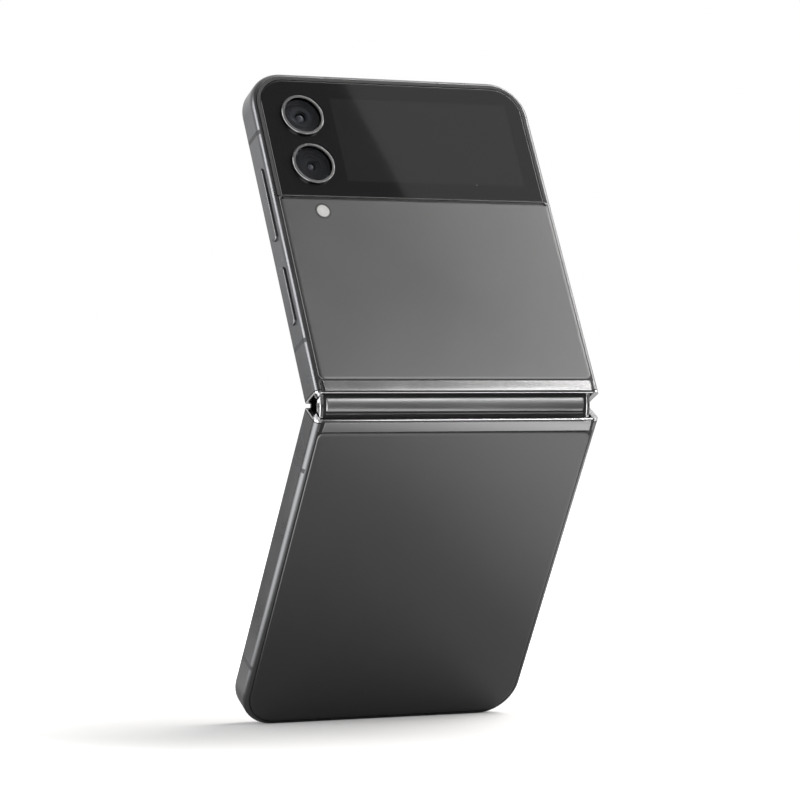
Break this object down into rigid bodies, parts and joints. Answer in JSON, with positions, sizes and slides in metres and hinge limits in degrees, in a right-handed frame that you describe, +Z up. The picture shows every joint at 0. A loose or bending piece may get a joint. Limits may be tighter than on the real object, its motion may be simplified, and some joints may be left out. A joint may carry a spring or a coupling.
{
  "type": "folding phone",
  "caption": "Clamshell phone that folds across its flexible display on a geared spine with two pivot lines, with side keys and a card tray that slide.",
  "frame": {"origin": "middle of the footprint, at the lowest edge of the lower half as it stands half open", "axes": "+Z up; the outer backs face -Y, the folding display faces +Y, the side keys are on -X; the fold lines run along X"},
  "size_m": [0.0724, 0.0478, 0.1496],
  "materials": {
    "rail_metal": "satin grey, finely blasted",
    "polished_metal": "polished",
    "spine_metal": "brushed along the fold, satin",
    "matte_glass": "matte etched, dark grey",
    "window_glass": "glossy, near black",
    "clear_glass": "clear, coated",
    "display": "glossy black, switched off",
    "black_plastic": "moulded, matte",
    "grey_plastic": "moulded, satin",
    "lens_plastic": "frosted",
    "steel": "stamped",
    "cell_foil": "wrapped foil",
    "board_green": "coated laminate",
    "copper": "wound, varnished",
    "magnet": "nickel plated"
  },
  "bodies": {
    "lower_half": {"lower_frame": "rail_metal", "lower_aerial_bands": "grey_plastic", "lower_back_glass": "matte_glass", "lower_hinge_trim": "polished_metal", "lower_inner_bezel": "black_plastic", "lower_display_panel": "display", "lower_display_plate": "steel", "lower_wing_plate": "steel", "lower_battery": "cell_foil", "charging_coil": "copper", "sub_board": "board_green", "socket_shell": "steel", "socket_tongue": "black_plastic", "speaker_module": "black_plastic", "speaker_mesh": "steel", "lower_magnets": "magnet", "vibration_motor": "steel", "lower_brackets": "steel", "lower_hinge_screws": "steel"},
    "hinge_spine": {"spine_cover": "spine_metal", "spine_end_caps": "polished_metal", "hinge_bases": "steel", "gear_shafts": "steel", "display_fold_zone": "display"},
    "upper_half": {"upper_frame": "rail_metal", "upper_aerial_bands": "grey_plastic", "cover_window": "window_glass", "window_gasket": "black_plastic", "upper_back_glass": "matte_glass", "cover_display": "display", "upper_hinge_trim": "polished_metal", "upper_inner_bezel": "black_plastic", "upper_display_panel": "display", "upper_display_plate": "steel", "upper_wing_plate": "steel", "camera_ring_top": "polished_metal", "camera_ring_bottom": "polished_metal", "camera_glass_top": "clear_glass", "camera_glass_bottom": "clear_glass", "camera_module_top": "black_plastic", "camera_module_bottom": "black_plastic", "flash_lens": "lens_plastic", "main_board": "board_green", "card_reader": "steel", "front_camera": "black_plastic", "upper_battery": "cell_foil", "key_switches": "black_plastic", "upper_magnets": "magnet", "receiver": "black_plastic", "upper_brackets": "steel", "upper_hinge_screws": "steel"},
    "power_key": {"power_key": "rail_metal"},
    "volume_rocker": {"volume_rocker": "rail_metal"},
    "card_tray": {"card_tray": "rail_metal"},
    "upper_sync": {"upper_sync_arms": "steel"},
    "lower_sync": {"lower_sync_arms": "steel"},
    "upper_idler": {"upper_idler_gears": "steel"},
    "lower_idler": {"lower_idler_gears": "steel"}
  },
  "joints": [
    {"name": "lower_fold", "type": "hinge", "parent": "lower_half", "child": "hinge_spine", "pos_m": [0.00028, -0.0175, 0.07137], "axis": [-1, 0, 0], "range_deg": [-28.95, 61.45]},
    {"name": "upper_fold", "type": "hinge", "parent": "hinge_spine", "child": "upper_half", "pos_m": [0.00028, -0.01765, 0.07617], "axis": [-1, 0, 0], "range_deg": [-28.95, 61.45], "deforming": ["display_fold_zone"]},
    {"name": "power_press", "type": "slide", "parent": "upper_half", "child": "power_key", "axis": [1, 0, 0], "range_m": [0, 0.0003], "stiffness_N_per_m": 2500},
    {"name": "volume_rock", "type": "hinge", "parent": "upper_half", "child": "volume_rocker", "pos_m": [-0.03517, 0.00112, 0.11881], "axis": [0, 0.8894, -0.4571], "range_deg": [-1, 1], "stiffness_Nm_per_rad": 0.5},
    {"name": "tray_slide", "type": "slide", "parent": "upper_half", "child": "card_tray", "axis": [1, 0, 0], "range_m": [0, 0.022]},
    {"name": "lower_sync_turn", "type": "hinge", "parent": "hinge_spine", "child": "lower_sync", "pos_m": [0.00028, -0.01992, 0.07055], "axis": [-1, 0, 0], "range_deg": [-61.45, 28.95]},
    {"name": "lower_idler_turn", "type": "hinge", "parent": "hinge_spine", "child": "lower_idler", "pos_m": [0.00028, -0.01999, 0.07264], "axis": [-1, 0, 0], "range_deg": [-28.95, 61.45]},
    {"name": "upper_idler_turn", "type": "hinge", "parent": "hinge_spine", "child": "upper_idler", "pos_m": [0.00028, -0.02005, 0.07474], "axis": [-1, 0, 0], "range_deg": [-61.45, 28.95]},
    {"name": "upper_sync_turn", "type": "hinge", "parent": "hinge_spine", "child": "upper_sync", "pos_m": [0.00028, -0.02012, 0.07684], "axis": [-1, 0, 0], "range_deg": [-28.95, 61.45]}
  ],
  "couplings": [
    {"joint": "upper_fold", "follows": "lower_fold", "ratio": 1},
    {"joint": "lower_sync_turn", "follows": "lower_fold", "ratio": -1},
    {"joint": "lower_idler_turn", "follows": "lower_fold", "ratio": 1},
    {"joint": "upper_idler_turn", "follows": "lower_fold", "ratio": -1},
    {"joint": "upper_sync_turn", "follows": "lower_fold", "ratio": 1}
  ]
}
